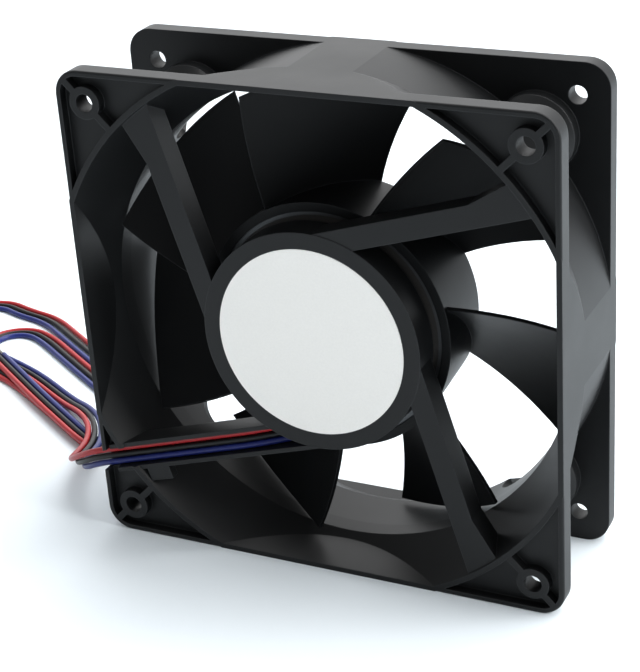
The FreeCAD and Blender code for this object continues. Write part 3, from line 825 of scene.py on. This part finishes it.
    def route(self, colour: LeadColour) -> list[Vector]:
        """List the control points of one lead from its terminal to its bare end.

        Args:
            colour: which lead.

        Returns:
            Points in millimetres.
        """
        place = colour.value
        levels = ((self.inner_mm, self.inner_stops_mm), (self.channel_mm, self.channel_stops_mm))
        points = [self.channel_point(along, place * self.pitch_mm, height)
                  for height, stops in levels for along in stops]
        points += [Vector(stop.at_mm) - Vector(stop.towards_red) * (place * self.floor_pitch_mm)
                   for stop in self.floor_stops]
        return points + self.hank_points(1 - place)

    def bare_cord(self, name: str, colour: LeadColour) -> bpy.types.Object:
        """Lay the smooth line of one lead, still without thickness.

        Args:
            name: name of the piece.
            colour: which lead.

        Returns:
            A curve object with one open spline.
        """
        curve = bpy.data.curves.new(name, "CURVE")
        curve.dimensions = "3D"
        curve.resolution_u = self.curve_steps
        points = self.route(colour)
        spline = curve.splines.new("NURBS")
        spline.points.add(len(points) - 1)
        for knot, point in zip(spline.points, points):
            knot.co = (*(point * MM), 1.0)
        spline.order_u = 3
        spline.use_endpoint_u = True
        cord = bpy.data.objects.new(name, curve)
        bpy.context.scene.collection.objects.link(cord)
        return cord

    @staticmethod
    def track(cord: bpy.types.Object) -> list[Vector]:
        """Read points along the line of a cord that has no thickness yet.

        Args:
            cord: the curve object.

        Returns:
            Points in metres.
        """
        line = bpy.data.meshes.new_from_object(cord.evaluated_get(bpy.context.evaluated_depsgraph_get()))
        points = [vertex.co.copy() for vertex in line.vertices]
        bpy.data.meshes.remove(line)
        return points

    def sheathe(self, cord: bpy.types.Object, colour: LeadColour) -> None:
        """Give a cord its round sheath.

        Args:
            cord: the curve object.
            colour: which lead it is.
        """
        curve = cord.data
        curve.bevel_depth = self.diameter_mm * MM / 2
        curve.bevel_resolution = self.round_steps
        curve.use_fill_caps = True
        curve.materials.append(SHEATHS[colour].material())

    def build(self) -> list[bpy.types.Object]:
        """Lay the three leads and strip their ends.

        Returns:
            The cords and their tips.
        """
        pieces = []
        tip_maker = StrandTip()
        for colour in LeadColour:
            name = f"lead_{colour.name.lower()}"
            cord = self.bare_cord(f"{name}_cord", colour)
            track = self.track(cord)
            self.sheathe(cord, colour)
            tip = tip_maker.build(f"{name}_tip", track[-1], (track[-1] - track[-2]).normalized())
            nodes = [name] if colour is not LeadColour.BLACK else [name, "lead_hank"]
            for piece in (cord, tip):
                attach(piece, Body.HOUSING.value)
            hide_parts(*nodes)
            pieces += [cord, tip]
        return pieces


@dataclass(frozen=True)
class SoftBox:
    """A square soft light that faces the fan."""

    name: str
    at_m: tuple[float, float, float]
    size_m: float
    power_w: float


@dataclass
class Studio:
    """Pale floor, soft light and the camera of the photograph."""

    floor_m: float = 6.0

    # Camera fitted to the corners of both flanges and to the label
    lens_mm: float = 99.04
    near_m: float = 0.01
    camera_at: tuple[float, float, float] = (0.17354, -0.35212, 0.24226)
    camera_right: tuple[float, float, float] = (0.90172, 0.42767, -0.06319)
    camera_up: tuple[float, float, float] = (-0.13441, 0.41628, 0.89925)
    camera_back: tuple[float, float, float] = (0.41089, -0.80238, 0.43285)

    # Brightness of the tent before and behind the part, and how far round it changes between the two
    tent_colour: str = "#fbfdff"
    tent_front: float = 0.32
    tent_back: float = 1.25
    tent_reach: float = 0.8

    # Soft boxes over the part, behind it for its top faces, and for its right side
    aim_m: tuple[float, float, float] = (0.0, 0.0, 0.06)
    boxes: tuple[SoftBox, ...] = (
        SoftBox("top_box", (0.25, 0.35, 0.9), 0.8, 10.0),
        SoftBox("back_box", (-0.42, 0.82, 0.52), 0.8, 2.4),
        SoftBox("right_box", (0.8, 0.1, 0.5), 0.6, 9.0))

    def lay_floor(self) -> None:
        """Lay the floor under the lowest point of the part."""
        half = self.floor_m / 2
        corners = [(-half, -half, 0), (half, -half, 0), (half, half, 0), (-half, half, 0)]
        mesh = bpy.data.meshes.new("floor")
        mesh.from_pydata(corners, [], [(0, 1, 2, 3)])
        mesh.materials.append(FLOOR_PAPER.material())
        floor = bpy.data.objects.new("floor", mesh)
        bpy.context.scene.collection.objects.link(floor)

    def hang_tent(self) -> None:
        """Light the part from all round, most from behind, as a photo tent does."""
        world = bpy.data.worlds.new("tent")
        bpy.context.scene.world = world
        world.use_nodes = True
        tree = world.node_tree
        tree.nodes.clear()
        place = add_node(tree, "ShaderNodeTexCoord")
        parts = add_node(tree, "ShaderNodeSeparateXYZ", {"Vector": place.outputs["Generated"]})
        depth = add_node(tree, "ShaderNodeMapRange",
                         {"Value": parts.outputs["Y"], "From Min": -self.tent_reach,
                          "From Max": self.tent_reach, "To Min": self.tent_front, "To Max": self.tent_back})
        glow = add_node(tree, "ShaderNodeBackground", {"Color": linear(self.tent_colour),
                                                       "Strength": depth.outputs["Result"]})
        add_node(tree, "ShaderNodeOutputWorld", {"Surface": glow.outputs["Background"]})

    def place_boxes(self) -> None:
        """Set up the soft boxes, each turned to the fan."""
        for box in self.boxes:
            lamp = bpy.data.lights.new(box.name, "AREA")
            lamp.size = box.size_m
            lamp.energy = box.power_w
            holder = bpy.data.objects.new(box.name, lamp)
            holder.location = box.at_m
            ahead = Vector(self.aim_m) - Vector(box.at_m)
            holder.rotation_euler = ahead.to_track_quat("-Z", "Y").to_euler()
            bpy.context.scene.collection.objects.link(holder)

    def place_camera(self) -> None:
        """Set the camera where the photograph was taken from."""
        lens = bpy.data.cameras.new("photo_camera")
        lens.lens = self.lens_mm
        lens.clip_start = self.near_m
        camera = bpy.data.objects.new("photo_camera", lens)
        turn = Matrix((self.camera_right, self.camera_up, self.camera_back)).transposed()
        camera.matrix_world = Matrix.Translation(self.camera_at) @ turn.to_4x4()
        bpy.context.scene.collection.objects.link(camera)
        bpy.context.scene.camera = camera

    def build(self) -> None:
        """Lay the floor, light it and place the camera, with plain display colours."""
        self.lay_floor()
        self.hang_tent()
        self.place_boxes()
        self.place_camera()
        bpy.context.scene.view_settings.view_transform = "Standard"


def main() -> None:
    """Dress the fan and lay its leads, logging the finishes of each piece, then set up the studio."""
    logging.basicConfig(level=logging.INFO, format="%(name)s: %(message)s")
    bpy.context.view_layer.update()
    low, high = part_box("shaft")
    for assembly in (Fan(axis=(low + high) / 2), Leads()):
        for piece in assembly.build():
            finishes = ", ".join(slot.material.name for slot in piece.material_slots)
            LOG.info("%s: %s", piece.name, finishes)
    Studio().build()


if __name__ == "__main__":
    main()
